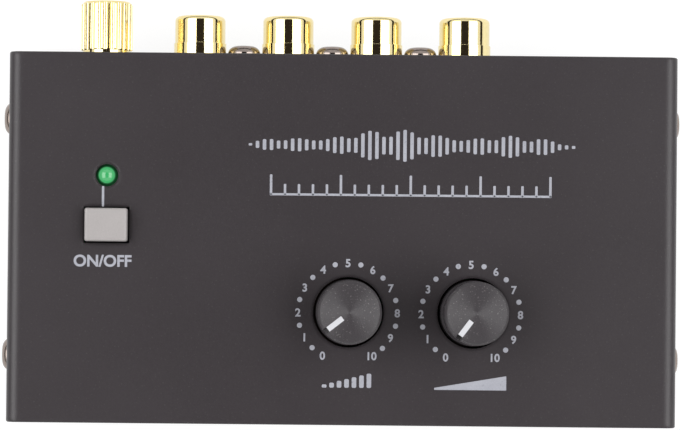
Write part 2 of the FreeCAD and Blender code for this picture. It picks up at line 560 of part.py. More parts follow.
def build_jacks():
    """The four signal sockets in their block, with the screws that hold it to the rear panel."""
    stock = block("JackStock", "jack_block_width", "jack_block_depth", "jack_block_height", "jack_group_x",
                  f"({PANEL_IN} - jack_block_depth / 2)", BOARD_TOP)
    outer = "barrel_radius + barrel_step"
    tools = [rod(f"BarrelPocket{k}", f"{outer} + socket_fit", "barrel_rooting + 1", x, BARREL_ROOT, JACK_Z,
                 BACK) for k, x in enumerate(JACK_XS)]
    tools += [rod(f"ContactWay{k}", "contact_radius + socket_fit", "jack_block_depth + 2", x,
                  f"({PANEL_IN} + 1)", JACK_Z, FORWARD) for k, x in enumerate(JACK_XS)]
    tools += [rod(f"ScrewPocket{k}", "screw_radius + thread_fit", "jack_screw_length + 1", x,
                  f"({PANEL_IN} + 1)", JACK_Z, FORWARD) for k, x in enumerate(JACK_SCREW_XS)]
    node(cut("JackBlock", stock, tools), "jack_housing")

    stepped = f"{BARREL_LENGTH} - barrel_reach + barrel_step_length"
    shell = turned("Barrel", (
        ("barrel_bore", "0"), (outer, "0"), (outer, stepped), ("barrel_radius", stepped),
        ("barrel_radius", BARREL_LENGTH), ("barrel_bore", BARREL_LENGTH)))
    rim, end = number("barrel_radius"), number(BARREL_LENGTH)
    soften(shell, "BarrelRim", "barrel_rounding",
           lambda e: at(e.BoundBox.ZMin, end) and at(e.BoundBox.XLength, 2 * rim))
    node(group("Barrels", [copy_of(shell, f"Barrel{k}", x, BARREL_ROOT, JACK_Z, BACK)
                           for k, x in enumerate(JACK_XS)]), "jack_shells")

    depth = f"({BARREL_LENGTH} - insert_recess)"
    plug = "barrel_bore - socket_fit"
    insert = turned("Insert", (
        ("contact_radius + socket_fit", "0"), (plug, "0"), (plug, depth), ("contact_bore", depth),
        ("contact_bore", f"{depth} - contact_bore_depth"),
        ("contact_radius + socket_fit", f"{depth} - contact_bore_depth")))
    for side, picked in (("Right", (0, 2)), ("Left", (1, 3))):
        copies = [copy_of(insert, f"Insert{side}{k}", JACK_XS[k], BARREL_ROOT, JACK_Z, BACK) for k in picked]
        node(group(f"Inserts{side}", copies), f"jack_inserts_{side.lower()}")

    behind = "jack_block_depth - barrel_rooting"
    bar = f"{behind} + {depth} - contact_bore_depth"
    contacts = []
    for k, x in enumerate(JACK_XS):
        back_y = f"({PANEL_IN} - jack_block_depth - lead_width / 2)"
        wire = rod(f"ContactBar{k}", "contact_radius", bar, x, f"({PANEL_IN} - jack_block_depth)", JACK_Z,
                   BACK)
        tail = lead(f"ContactTail{k}", x, back_y, f"({JACK_Z} + contact_radius)")
        contacts.append(fuse(f"Contact{k}", [wire, tail]))
    node(group("Contacts", contacts), "jack_contacts")

    screw = pan_screw("JackScrew", "jack_screw_length", "rear_head_height")
    node(group("JackScrews", [copy_of(screw, f"JackScrew{k}", x, PANEL_OUT, JACK_Z, BACK)
                              for k, x in enumerate(JACK_SCREW_XS)]), "jack_screws")


def build_ground():
    """The ground post: stud, bushes, lock nut and tag inside, clamp washer and fluted nut outside."""
    bore_depth = f"({NUT_LENGTH} - nut_cap)"
    nut = turned("NutTurned", (
        ("post_radius + post_fit", "0"), ("nut_radius - 0.15", "0"), ("nut_radius", "0.15"),
        ("nut_radius", f"{NUT_LENGTH} - nut_chamfer"), ("nut_radius - nut_chamfer", NUT_LENGTH),
        ("0", NUT_LENGTH), ("0", bore_depth), ("post_radius + post_fit", bore_depth)))
    sketch = sketch_on(nut, "FluteOutline", "XY_Plane")
    spot = FreeCAD.Vector(number("nut_radius + flute_offset"), 0, 0)
    sketch.addGeometry(Part.Circle(spot, FreeCAD.Vector(0, 0, 1), number("flute_radius")), False)
    sketch.addConstraint(Sketcher.Constraint("PointOnObject", 0, 3, -1))
    out = sketch.addConstraint(Sketcher.Constraint("DistanceX", -1, 1, 0, 3, spot.x))
    size = sketch.addConstraint(Sketcher.Constraint("Radius", 0, number("flute_radius")))
    sketch.setExpression(f"Constraints[{out}]", formula("nut_radius + flute_offset"))
    sketch.setExpression(f"Constraints[{size}]", formula("flute_radius"))
    flute = nut.newObject("PartDesign::Pocket", "Flute")
    flute.Profile = (sketch, [""])
    flute.Midplane = True
    bind(flute, Length=f"3 * {NUT_LENGTH}")
    doc.recompute()
    ring = nut.newObject("PartDesign::PolarPattern", "Flutes")
    ring.Originals = [flute]
    ring.Axis = (sketch, ["N_Axis"])
    ring.Angle = 360
    bind(ring, Occurrences="flute_count")
    nut.Tip = ring
    doc.recompute()
    node(place(group("GroundNut", [nut]), GROUND_X, NUT_FOOT, JACK_Z, BACK), "ground_nut")

    washer = turned("ClampTurned", (
        ("post_radius + clamp_gap", "0"), ("clamp_radius", "0"), ("clamp_radius", "clamp_thickness"),
        ("post_radius + clamp_gap", "clamp_thickness")))
    node(place(group("GroundWasher", [washer]), GROUND_X, BUSH_OUT, JACK_Z, BACK), "ground_washer")

    bore = "post_radius + post_fit"
    outer = turned("BushOuter", (
        (bore, "-0.45 * sheet"), ("bush_spigot", "-0.45 * sheet"), ("bush_spigot", "0"),
        ("bush_radius", "0"), ("bush_radius", "bush_flange"), (bore, "bush_flange")))
    node(group("Bushes", [
        copy_of(outer, "BushOutside", GROUND_X, PANEL_OUT, JACK_Z, BACK),
        copy_of(outer, "BushInside", GROUND_X, PANEL_IN, JACK_Z, FORWARD)]), "ground_bushes")

    tail_y = f"({LOCK_NUT_Y} - lock_nut - post_tail)"
    length = f"({NUT_FOOT} + {bore_depth} - post_end_gap - {tail_y})"
    stud = turned("StudTurned", (
        ("0", "0"), ("post_radius - 0.4", "0"), ("post_radius", "0.4"), ("post_radius", f"{length} - 0.4"),
        ("post_radius - 0.4", length), ("0", length)))
    node(place(group("GroundStud", [stud]), GROUND_X, tail_y, JACK_Z, BACK), "ground_stud")

    hexagon = doc.addObject("Part::Prism", "LockHex")
    hexagon.Polygon = 6
    bind(hexagon, Circumradius="lock_nut_radius", Height="lock_nut")
    lock = cut("LockNut", hexagon, [rod("LockBore", bore, "lock_nut + 2", "0", "0", "-1")])
    node(place(lock, GROUND_X, LOCK_NUT_Y, JACK_Z, FORWARD), "ground_lock_nut")

    foot = f"({BOARD_UNDER} - lead_tail)"
    board_holes.append((GROUND_X, f"({TAG_Y} - tag_thickness / 2)", "tag_width / 2 + 0.2"))
    ring_plate = rod("TagRing", "tag_radius", "tag_thickness", GROUND_X, TAG_Y, JACK_Z, FORWARD)
    tail = block("TagTail", "tag_width", "tag_thickness", f"{JACK_Z} - post_radius - 0.6 - {foot}",
                 GROUND_X, f"({TAG_Y} - tag_thickness / 2)", foot)
    way = rod("TagBore", bore, "tag_thickness + 2", GROUND_X, f"({TAG_Y} + 1)", JACK_Z, FORWARD)
    node(cut("GroundTag", fuse("TagStock", [ring_plate, tail]), [way]), "ground_tag")


def build_inlet():
    """The power inlet: a block with a round mouth, its centre pin and its three leads."""
    stock = block("InletStock", "inlet_width", "inlet_depth", "inlet_height", INLET_X,
                  f"({PANEL_IN} - inlet_depth / 2)", BOARD_TOP)
    mouth = rod("InletMouth", "inlet_bore", "inlet_bore_depth + 1", INLET_X, f"({PANEL_IN} + 1)", INLET_Z,
                FORWARD)
    node(cut("InletBlock", stock, [mouth]), "dc_jack_housing")
    length = "inlet_bore_depth - inlet_pin_recess"
    pin = turned("InletPinTurned", (("0", "0"), ("inlet_pin", "0"), ("inlet_pin", f"{length} - 0.4"),
                                    ("inlet_pin - 0.4", length), ("0", length)))
    node(place(group("InletPin", [pin]), INLET_X, f"({PANEL_IN} - inlet_bore_depth)", INLET_Z, BACK),
         "dc_jack_pin")
    rear_y = f"({PANEL_IN} - inlet_depth + 1)"
    spots = ((INLET_X, rear_y), (INLET_X, f"({rear_y} + 2.4 * grid)"),
             (f"({INLET_X} + 1.2 * grid)", f"({rear_y} + 1.2 * grid)"))
    node(group("InletLeads", [lead(f"InletLead{k}", x, y, BOARD_TOP) for k, (x, y) in enumerate(spots)]),
         "dc_jack_contacts")


def build_electronics():
    """The amplifier chips, capacitors, resistors and the input diode, with their leads."""
    notch = rod("ChipNotch", "chip_notch", "1", "-chip_length / 2", "0", "chip_height - 0.5")
    chip = cut("Chip", block("ChipBlock", "chip_length", "chip_width", "chip_height"), [notch])
    chips, legs = [], []
    shoulder = block("ChipShoulder", "0.5", "chip_row + 0.15 - chip_width / 2", "0.3", "0",
                     "(chip_row + 0.15 + chip_width / 2) / 2", "chip_lift + chip_height / 2")
    drop = block("ChipDrop", "0.5", "0.3", "chip_lift + chip_height / 2 + 0.3 + board_thickness + lead_tail",
                 "0", "chip_row", "-board_thickness - lead_tail")
    leg = fuse("ChipLeg", [shoulder, drop])
    for n, spot in enumerate(CHIPS):
        x, y = on_grid(spot)
        chips.append(copy_of(chip, f"Chip{n}", x, y, CHIP_Z))
        for k in (-1.5, -0.5, 0.5, 1.5):
            leg_x = f"({x} + ({k}) * grid)"
            for side, turn in ((1, UP), (-1, TURNED_ROUND)):
                legs.append(copy_of(leg, f"ChipLeg{n}_{len(legs)}", leg_x, y, BOARD_TOP, turn))
                board_holes.append((leg_x, f"({y} + {side} * chip_row)", "lead_hole"))
    node(group("Chips", chips), "op_amp_chips")
    node(group("ChipLegs", legs), "op_amp_legs")

    can = turned("Can", (
        ("0", "0"), ("can_radius", "0"), ("can_radius", "can_groove * 3"),
        ("can_radius - can_groove", "can_groove * 4"), ("can_radius", "can_groove * 5"),
        ("can_radius", "can_height - can_groove"), ("can_radius - can_groove", "can_height"),
        ("0", "can_height")))
    film = block("FilmBlock", "film_length", "film_width", "film_height")
    cans, films, wires = [], [], []
    for n, spot in enumerate(CANS):
        x, y = on_grid(spot)
        cans.append(copy_of(can, f"Can{n}", x, y, BOARD_TOP))
        wires += [lead(f"CanLead{n}_{s}", f"({x} + {s} * can_lead_pitch / 2)", y, BOARD_TOP)
                  for s in ("-1", "1")]
    for n, spot in enumerate(FILMS):
        x, y = on_grid(spot)
        films.append(place(doc.addObject("App::Link", f"Film{n}"), f"{x} - film_length / 2",
                           f"{y} - film_width / 2", BOARD_TOP))
        films[-1].LinkedObject = film
        wires += [lead(f"FilmLead{n}_{s}", f"({x} + {s} * film_lead_pitch / 2)", y, BOARD_TOP)
                  for s in ("-1", "1")]
    node(group("Cans", cans), "electrolytic_capacitors")
    node(group("Films", films), "film_capacitors")

    end = "resistor_length / 2"
    barrel = turned("ResistorBody", (
        ("0", f"-{end}"), ("resistor_radius", f"-{end}"), ("resistor_radius", f"1.4 - {end}"),
        ("resistor_waist", f"1.9 - {end}"), ("resistor_waist", f"{end} - 1.9"),
        ("resistor_radius", f"{end} - 1.4"), ("resistor_radius", end), ("0", end)))
    axis_z = f"({BOARD_TOP} + resistor_lift + resistor_radius)"
    bodies = []
    for n, spot in enumerate(RESISTORS):
        x, y = on_grid(spot)
        bodies.append(copy_of(barrel, f"Resistor{n}", x, y, axis_z, RIGHT))
        wires += bent_leads(f"Resistor{n}", x, y, axis_z, end)
    node(group("Resistors", bodies), "resistors")
    diode_end = "diode_length / 2"
    x, y = on_grid(DIODE)
    diode_z = f"({BOARD_TOP} + resistor_lift + diode_radius)"
    diode = rod("DiodeBody", "diode_radius", "diode_length", f"({x} - {diode_end})", y, diode_z, RIGHT)
    node(group("Diode", [diode]), "rectifier_diode")
    wires += bent_leads("Diode", x, y, diode_z, diode_end)
    node(group("Wires", wires), "component_leads")


def bent_leads(name, x, y, axis_z, end):
    """The two wires of a lying part, each straight out of its end and then down through the board."""
    leads = []
    for s in ("-1", "1"):
        far = f"({x} + {s} * ({end} + wire_reach - lead_width / 2))"
        flat = block(f"{name}Wire{s}".replace("-", "m"), "wire_reach", "lead_width", "lead_width",
                     f"({x} + {s} * ({end} + wire_reach / 2))", y, f"{axis_z} - lead_width / 2")
        down = lead(f"{name}Down{s}".replace("-", "m"), far, y, f"({axis_z} + lead_width / 2)")
        leads.append(fuse(f"{name}Lead{s}".replace("-", "m"), [flat, down]))
    return leads


def build_board():
    """The circuit board with a hole for every lead and screw. It is built after all that stands on it."""
    stock = block("BoardStock", BOARD_WIDTH, BOARD_DEPTH, "board_thickness", "0", BOARD_Y, BOARD_UNDER)
    holes = board_holes + [(x, y, "screw_radius + screw_clearance") for x, y in board_corners()]
    tools = [rod(f"BoardHole{k}", radius, "board_thickness + 2", x, y, f"({BOARD_UNDER} - 1)")
             for k, (x, y, radius) in enumerate(holes)]
    node(cut("Board", stock, tools), "circuit_board")


build_cover()
build_chassis()
build_feet()
build_board_fixing()
build_cover_screws()
build_dial("level", "level_x", "level_angle")
build_dial("volume", "(level_x + knob_pitch)", "volume_angle")
build_button()
build_lamp()
build_jacks()
build_ground()
build_inlet()
build_electronics()
build_board()
doc.recompute()

failed = [item.Name for item in doc.Objects if {"Invalid", "Error"} & set(item.State)]
failed += [item.Label for item in nodes if item.Shape.isNull() or not item.Shape.isValid()]
if failed:
    raise RuntimeError("these objects failed: " + ", ".join(failed))

os.makedirs("parts", exist_ok=True)
for item in nodes:
    item.Shape.exportStep(f"parts/{item.Label}.step")
print(f"{len(nodes)} nodes, {sum(len(item.Shape.Solids) for item in nodes)} solids")
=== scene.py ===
"""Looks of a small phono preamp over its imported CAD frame: finishes, printing, studio and camera."""

import sys
import logging
import math
from dataclasses import dataclass, field
from enum import Enum

import bpy
from bpy.types import Material, Node, NodeSocket, NodeTree, Object
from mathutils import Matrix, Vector


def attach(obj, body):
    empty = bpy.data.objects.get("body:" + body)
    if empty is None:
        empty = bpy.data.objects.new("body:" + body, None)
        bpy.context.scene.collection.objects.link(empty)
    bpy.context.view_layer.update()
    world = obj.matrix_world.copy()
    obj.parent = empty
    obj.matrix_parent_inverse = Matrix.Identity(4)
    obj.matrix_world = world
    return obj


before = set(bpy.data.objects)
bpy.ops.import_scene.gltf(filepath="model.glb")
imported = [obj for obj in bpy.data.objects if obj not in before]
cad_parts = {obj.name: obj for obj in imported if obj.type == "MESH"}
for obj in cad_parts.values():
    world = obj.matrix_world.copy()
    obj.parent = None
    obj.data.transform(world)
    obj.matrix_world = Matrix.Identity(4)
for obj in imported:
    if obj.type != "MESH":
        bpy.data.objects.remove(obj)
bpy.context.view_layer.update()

MM = 0.001
PANEL_TOP = 30.0
# Blender's ring texture turns through this many radians in one unit at a scale of one
RING_RADIANS = 20
TONE_FROM, TONE_TO = 0.7, 1.3
FLECK_FROM, FLECK_TO = 0.72, 0.80
COAT_ROUGHNESS = 0.08
log = logging.getLogger("phono_preamp")


def linear(colour: str, alpha: float = 1.0) -> tuple[float, float, float, float]:
    """Turns an sRGB hex colour to linear values.

    Args:
        colour: Six hex digits after a number sign.
        alpha: The fourth value.

    Returns:
        Linear red, green and blue with the alpha.
    """
    parts = [int(colour[i:i + 2], 16) / 255 for i in (1, 3, 5)]
    done = [p / 12.92 if p <= 0.04045 else ((p + 0.055) / 1.055) ** 2.4 for p in parts]
    return (done[0], done[1], done[2], alpha)


def add_node(tree: NodeTree, kind: str, links: dict | None = None, **settings: object) -> Node:
    """Adds a node with its settings, and links or sets its inputs.

    Args:
        tree: The node tree that gets the node.
        kind: Blender's name for the kind of node.
        links: Input name or number to a socket, which is linked, or to a value, which is set.
        **settings: Properties of the node itself.

    Returns:
        The new node.
    """
    node = tree.nodes.new(kind)
    for name, value in settings.items():
        setattr(node, name, value)
    for name, source in (links or {}).items():
        if isinstance(source, NodeSocket):
            tree.links.new(source, node.inputs[name])
        else:
            node.inputs[name].default_value = source
    return node


class Grain(Enum):
    """How a surface was made, which sets its finest pattern."""

    GRIT = "sprayed or baked grains"
    MOULDED = "spark-eroded mould"
    RINGS = "rings left by turning"
    DRAWN = "lines along the piece"


@dataclass(frozen=True)
class Finish:
    """A surface finish with a broad tone, a fine grain and flecks, all in real millimetres."""

    name: str
    colour: str
    tone: str
    roughness: float
    metallic: float = 0.0
    ior: float = 1.5
    coat: float = 0.0
    grain: Grain = Grain.MOULDED
    grain_mm: float = 0.3
    relief_mm: float = 0.002
    tone_mm: float = 9.0
    roughness_span: float = 0.05
    edge_mm: float = 0.0
    sheen_level: float = 0.5
    centre: tuple[float, float, float] = (0.0, 0.0, 0.0)
    along: tuple[float, float, float] = (1.0, 1.0, 1.0)
    fleck: str = ""
    fleck_mm: float = 0.35
    fleck_share: float = 0.3

    def pattern(self, tree: NodeTree, place: NodeSocket) -> NodeSocket:
        """Adds the finest pattern of the surface.

        Args:
            tree: The material's tree.
            place: Object coordinates about the finish's centre.

        Returns:
            The pattern's height from 0 to 1.
        """
        size = self.grain_mm * MM
        if self.grain is Grain.RINGS:
            wave = add_node(tree, "ShaderNodeTexWave", {
                "Vector": place, "Scale": math.tau / RING_RADIANS / size, "Distortion": 1.2, "Detail": 1.0,
            }, wave_type="RINGS", rings_direction="Z")
            return wave.outputs["Fac"]
        if self.grain is Grain.DRAWN:
            stretch = add_node(tree, "ShaderNodeMapping", {"Vector": place, "Scale": self.along})
            lines = add_node(tree, "ShaderNodeTexNoise", {
                "Vector": stretch.outputs["Vector"], "Scale": 1 / size, "Detail": 3.0})
            return lines.outputs["Fac"]
        detail = 4.0 if self.grain is Grain.GRIT else 2.0
        noise = add_node(tree, "ShaderNodeTexNoise", {
            "Vector": place, "Scale": 1 / size, "Detail": detail, "Roughness": 0.6})
        return noise.outputs["Fac"]

    def tint(self, tree: NodeTree, place: NodeSocket, height: NodeSocket) -> NodeSocket:
        """Adds the surface colour with its broad tone and flecks.

        Args:
            tree: The material's tree.
            place: Object coordinates about the finish's centre.
            height: The finest pattern.

        Returns:
            The colour.
        """
        broad = add_node(tree, "ShaderNodeTexNoise", {
            "Vector": place, "Scale": 1 / (self.tone_mm * MM), "Detail": 2.0})
        both = add_node(tree, "ShaderNodeMath", {0: broad.outputs["Fac"], 1: height}, operation="ADD")
        share = add_node(tree, "ShaderNodeMapRange", {
            "Value": both.outputs[0], "From Min": TONE_FROM, "From Max": TONE_TO})
        colour = add_node(tree, "ShaderNodeMix", {
            "Factor": share.outputs["Result"], 6: linear(self.colour), 7: linear(self.tone),
        }, data_type="RGBA").outputs[2]
        if not self.fleck:
            return colour
        dust = add_node(tree, "ShaderNodeTexNoise", {
            "Vector": place, "Scale": 1 / (self.fleck_mm * MM), "Detail": 0.0})
        spots = add_node(tree, "ShaderNodeMapRange", {
            "Value": dust.outputs["Fac"], "From Min": FLECK_FROM, "From Max": FLECK_TO,
            "To Max": self.fleck_share})
        return add_node(tree, "ShaderNodeMix", {
            "Factor": spots.outputs["Result"], 6: colour, 7: linear(self.fleck),
        }, data_type="RGBA").outputs[2]

    def shader(self, tree: NodeTree, colour: NodeSocket, height: NodeSocket) -> Node:
        """Adds the surface shader with its roughness and relief.

        Args:
            tree: The material's tree.
            colour: The surface colour.
            height: The finest pattern.

        Returns:
            The Principled node.
        """
        rough = add_node(tree, "ShaderNodeMapRange", {
            "Value": height, "To Min": self.roughness - self.roughness_span,
            "To Max": self.roughness + self.roughness_span})
        links: dict = {"Height": height, "Distance": self.relief_mm * MM, "Strength": 1.0}
        if self.edge_mm:
            rounded = add_node(tree, "ShaderNodeBevel", {"Radius": self.edge_mm * MM}, samples=4)
            links["Normal"] = rounded.outputs["Normal"]
        relief = add_node(tree, "ShaderNodeBump", links)
        return add_node(tree, "ShaderNodeBsdfPrincipled", {
            "Base Color": colour, "Roughness": rough.outputs["Result"], "Metallic": self.metallic,
            "IOR": self.ior, "Specular IOR Level": self.sheen_level,
            "Coat Weight": self.coat, "Coat Roughness": COAT_ROUGHNESS,
            "Normal": relief.outputs["Normal"]})

    def build(self) -> Material:
        """Makes the material, once for each finish.

        Returns:
            The material.
        """
        known = bpy.data.materials.get(self.name)
        if known:
            return known
        material = bpy.data.materials.new(self.name)
        material.use_nodes = True
        tree = material.node_tree
        tree.nodes.clear()
        coordinates = add_node(tree, "ShaderNodeTexCoord")
        centred = add_node(tree, "ShaderNodeMapping", {
            "Vector": coordinates.outputs["Object"], "Location": [-c * MM for c in self.centre]})
        place = centred.outputs["Vector"]
        height = self.pattern(tree, place)
        surface = self.shader(tree, self.tint(tree, place, height), height)
        add_node(tree, "ShaderNodeOutputMaterial", {"Surface": surface.outputs["BSDF"]})
        return material


@dataclass(frozen=True)
class LitLens(Finish):
    """Clear green epoxy with a painted glow, brightest in the middle of its dome."""

    # Painted glow: its colour, its strength in the middle, where it fades, and the faint strength left at
    # the rim
    glow: str = "#50C278"
    glow_strength: float = 0.7
    core_mm: float = 1.15
    glow_mm: float = 1.46
    rim_strength: float = 0.05

    def shader(self, tree: NodeTree, colour: NodeSocket, height: NodeSocket) -> Node:
        """Adds the shader with a painted glow that fades from the middle of the lens.

        Args:
            tree: The material's tree.
            colour: The surface colour.
            height: The finest pattern.

        Returns:
            The Principled node.
        """
        surface = Finish.shader(self, tree, colour, height)
        coordinates = add_node(tree, "ShaderNodeTexCoord")
        flat = add_node(tree, "ShaderNodeMapping", {
            "Vector": coordinates.outputs["Object"], "Location": [-c * MM for c in self.centre]})
        level = add_node(tree, "ShaderNodeVectorMath", {
            0: flat.outputs["Vector"], 1: (1.0, 1.0, 0.0)}, operation="MULTIPLY")
        reach = add_node(tree, "ShaderNodeVectorMath", {0: level.outputs["Vector"]}, operation="LENGTH")
        # Painted glow: emission strongest in the middle of the lens, fading to a faint glow at the rim
        fade = add_node(tree, "ShaderNodeMapRange", {
            "Value": reach.outputs["Value"], "From Min": self.core_mm * MM, "From Max": self.glow_mm * MM,
            "To Min": self.glow_strength, "To Max": self.rim_strength}, interpolation_type="SMOOTHSTEP")
        tree.links.new(fade.outputs["Result"], surface.inputs["Emission Strength"])
        surface.inputs["Emission Color"].default_value = linear(self.glow)
        return surface


@dataclass(frozen=True)
class BandedLacquer(Finish):
    """Resistor lacquer with painted rings across the body, which lies along X."""

    bands: tuple[str, ...] = ("#6B3A1E", "#1B1B1B", "#8C2A1B", "#B5862C")
    band_mm: float = 0.55
    pitch_mm: float = 1.15
    body_pitch_mm: float = 12.7

    def tint(self, tree: NodeTree, place: NodeSocket, height: NodeSocket) -> NodeSocket:
        """Adds the lacquer colour and lays the rings over it.

        Args:
            tree: The material's tree.
            place: Object coordinates about the finish's centre.
            height: The finest pattern.

        Returns:
            The colour.
        """
        colour = Finish.tint(self, tree, place, height)
        across = add_node(tree, "ShaderNodeSeparateXYZ", {0: place}).outputs["X"]
        folded = add_node(tree, "ShaderNodeMath", {
            0: across, 1: self.body_pitch_mm * MM, 2: 0.0}, operation="WRAP")
        middle = (len(self.bands) - 1) / 2
        for number, shade in enumerate(self.bands):
            spot = (self.body_pitch_mm / 2 + (number - middle) * self.pitch_mm) * MM
            ring = add_node(tree, "ShaderNodeMath", {
                0: folded.outputs[0], 1: spot, 2: self.band_mm * MM / 2}, operation="COMPARE")
            colour = add_node(tree, "ShaderNodeMix", {
                "Factor": ring.outputs[0], 6: colour, 7: linear(shade)}, data_type="RGBA").outputs[2]
        return colour


@dataclass(frozen=True)
class SolderMask(Finish):
    """Green mask over copper tracks, which show as a lighter tone."""

    track: str = "#1E7A45"
    track_mm: float = 3.2
    track_reach: float = 0.33
    track_width: float = 0.07
    wander: float = 0.55

    def tint(self, tree: NodeTree, place: NodeSocket, height: NodeSocket) -> NodeSocket:
        """Adds the mask colour with the lighter tracks under it.

        Args:
            tree: The material's tree.
            place: Object coordinates about the finish's centre.
            height: The finest pattern.

        Returns:
            The colour.
        """
        colour = Finish.tint(self, tree, place, height)
        cells = add_node(tree, "ShaderNodeTexVoronoi", {
            "Vector": place, "Scale": 1 / (self.track_mm * MM), "Randomness": self.wander,
        }, distance="CHEBYCHEV", feature="F1")
        line = add_node(tree, "ShaderNodeMath", {
            0: cells.outputs["Distance"], 1: self.track_reach, 2: self.track_width}, operation="COMPARE")
        return add_node(tree, "ShaderNodeMix", {
            "Factor": line.outputs[0], 6: colour, 7: linear(self.track)}, data_type="RGBA").outputs[2]


# Powder coat, sprayed and baked: fine orange peel with a satin sheen and a few pale grains of dust
POWDER_COAT = Finish("powder_coated_steel", "#322D30", "#383336", 0.33, grain=Grain.GRIT, grain_mm=0.32,
                     relief_mm=0.004, tone_mm=22.0, edge_mm=0.9, sheen_level=0.45, fleck="#5C5959",
                     fleck_mm=0.3, fleck_share=0.2)
# Bright zinc plate on pressed steel: warm grey metal with a mirror gloss and the faintest grain
ZINC_PLATE = Finish("bright_zinc_plate", "#9A8E87", "#877C76", 0.14, metallic=1.0, grain=Grain.GRIT,
                    grain_mm=0.3, relief_mm=0.001, edge_mm=0.08)
# Gold plate over turned brass: mirror bright, with the finest turning lines
GOLD_PLATE = Finish("polished_gold_plate", "#F1E2AF", "#EAD79A", 0.07, metallic=1.0, grain=Grain.GRIT,
                    grain_mm=0.5, relief_mm=0.0006, roughness_span=0.03, edge_mm=0.08)
# Neoprene, compression moulded: matt black with a dusty bloom
NEOPRENE = Finish("moulded_neoprene", "#17171A", "#202024", 0.82, grain_mm=0.4, relief_mm=0.01,
                  fleck="#4A4A4C")
# Gloss white polystyrene rod set into the knob: clean with soft edges
POINTER_WHITE = Finish("white_polystyrene", "#E2E2E6", "#D8D8DD", 0.32, grain_mm=0.2, relief_mm=0.001,
                       edge_mm=0.06)
# Pad-printed epoxy ink: pale blue-grey, a little broken where it sits on the grit of the coat
PAD_INK = Finish("pad_printed_ink", "#B2B3BC", "#A4A5AF", 0.5, grain=Grain.GRIT, grain_mm=0.25,
                 relief_mm=0.002, tone_mm=3.0, fleck="#7A7C86", fleck_share=0.5)
# ABS, spark-eroded mould: light warm grey with a low satin sheen
CAP_ABS = Finish("light_grey_abs", "#B6B1B0", "#AFAAA9", 0.36, grain_mm=0.22, relief_mm=0.0015,
                 edge_mm=0.18, fleck="#A19D9B", fleck_share=0.15)
# Glass-filled nylon, moulded: near black and faintly mottled
BLACK_NYLON = Finish("black_nylon", "#141416", "#1D1D20", 0.5, grain_mm=0.35, relief_mm=0.004)
# Acetal, moulded: milky white insulator of a left socket
WHITE_ACETAL = Finish("white_acetal", "#E9E6DF", "#DCD8D0", 0.35, grain_mm=0.3, relief_mm=0.002)
# Acetal, moulded: signal red insulator of a right socket
RED_ACETAL = Finish("red_acetal", "#B81B17", "#A01511", 0.35, grain_mm=0.3, relief_mm=0.002)
# Tinned copper wire: soft white metal, slightly dull
TINNED_COPPER = Finish("tinned_copper", "#CFCCC8", "#BEBBB7", 0.3, metallic=1.0, grain=Grain.DRAWN,
                       grain_mm=0.2, along=(1.0, 1.0, 0.1))
# Free-cutting steel, turned: grey metal with rings round the shaft
TURNED_STEEL = Finish("turned_steel", "#B4B4B6", "#A3A3A6", 0.3, metallic=1.0, grain=Grain.DRAWN,
                      grain_mm=0.3, along=(0.05, 0.05, 1.0))
# Zinc die casting: pale grey metal with a soft grain
DIE_CAST = Finish("zinc_die_casting", "#BFBFBC", "#AEAEAC", 0.42, metallic=1.0, grain=Grain.GRIT)
# Paper phenolic, punched: warm brown with fine paper fibre
PHENOLIC = Finish("paper_phenolic", "#6B4020", "#7C4D29", 0.55, grain=Grain.DRAWN, grain_mm=0.5,
                  along=(0.2, 1.0, 1.0), relief_mm=0.004)
# Shrunk PVC sleeve over a can: dark blue with a soft gloss
PVC_SLEEVE = Finish("pvc_can_sleeve", "#14162C", "#1B1E3A", 0.28, coat=0.3, grain_mm=0.8, relief_mm=0.003)
# Dipped epoxy film capacitor: brick red with a thick wet-looking skin
DIPPED_EPOXY = Finish("dipped_epoxy", "#9A2C1B", "#86220F", 0.25, coat=0.5, grain_mm=1.6, relief_mm=0.02)
# Resistor lacquer: pale blue with four painted rings
LACQUER = BandedLacquer("resistor_lacquer", "#5F97A8", "#558B9C", 0.3, coat=0.3, grain_mm=0.6)
# Solder mask over glass epoxy: green with lighter tracks
MASKED_BOARD = SolderMask("green_solder_mask", "#0E4A2A", "#115530", 0.32, coat=0.2, grain_mm=0.4,
                          relief_mm=0.002)
# Plain turned brass: warm yellow metal of the spacers
PLAIN_BRASS = Finish("turned_brass", "#C9A55C", "#B8944C", 0.26, metallic=1.0, grain=Grain.DRAWN,
                     grain_mm=0.25, along=(1.0, 1.0, 0.15))


@dataclass
class Case:
    """The folded case with its screws and feet."""

    def dress(self) -> None:
        """Gives each sheet, screw and foot its finish."""
        for node in ("cover", "chassis"):
            paint(node, POWDER_COAT)
        for node in ("cover_screws", "spacer_screws", "board_screws"):
            paint(node, ZINC_PLATE)
        paint("board_spacers", PLAIN_BRASS)
        paint("rubber_feet", NEOPRENE)


def paint(node: str, finish: Finish) -> None:
    """Gives a CAD node its finish.

    Args:
        node: The node's name.
        finish: The finish for its whole surface.
    """
    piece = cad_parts[node]
    piece.data.materials.clear()
    piece.data.materials.append(finish.build())
    log.info("%s: %s", node, finish.name)


def deselect() -> None:
    """Leaves edit mode and deselects everything."""
    if bpy.context.object and bpy.context.object.mode != "OBJECT":
        bpy.ops.object.mode_set(mode="OBJECT")
    bpy.ops.object.select_all(action="DESELECT")


def settle(piece: Object) -> None:
    """Applies a piece's place, turn and size to its mesh.

    Args:
        piece: The piece, alone or joined.
    """
    deselect()
    piece.select_set(True)
    bpy.context.view_layer.objects.active = piece
    bpy.ops.object.transform_apply(location=True, rotation=True, scale=True)


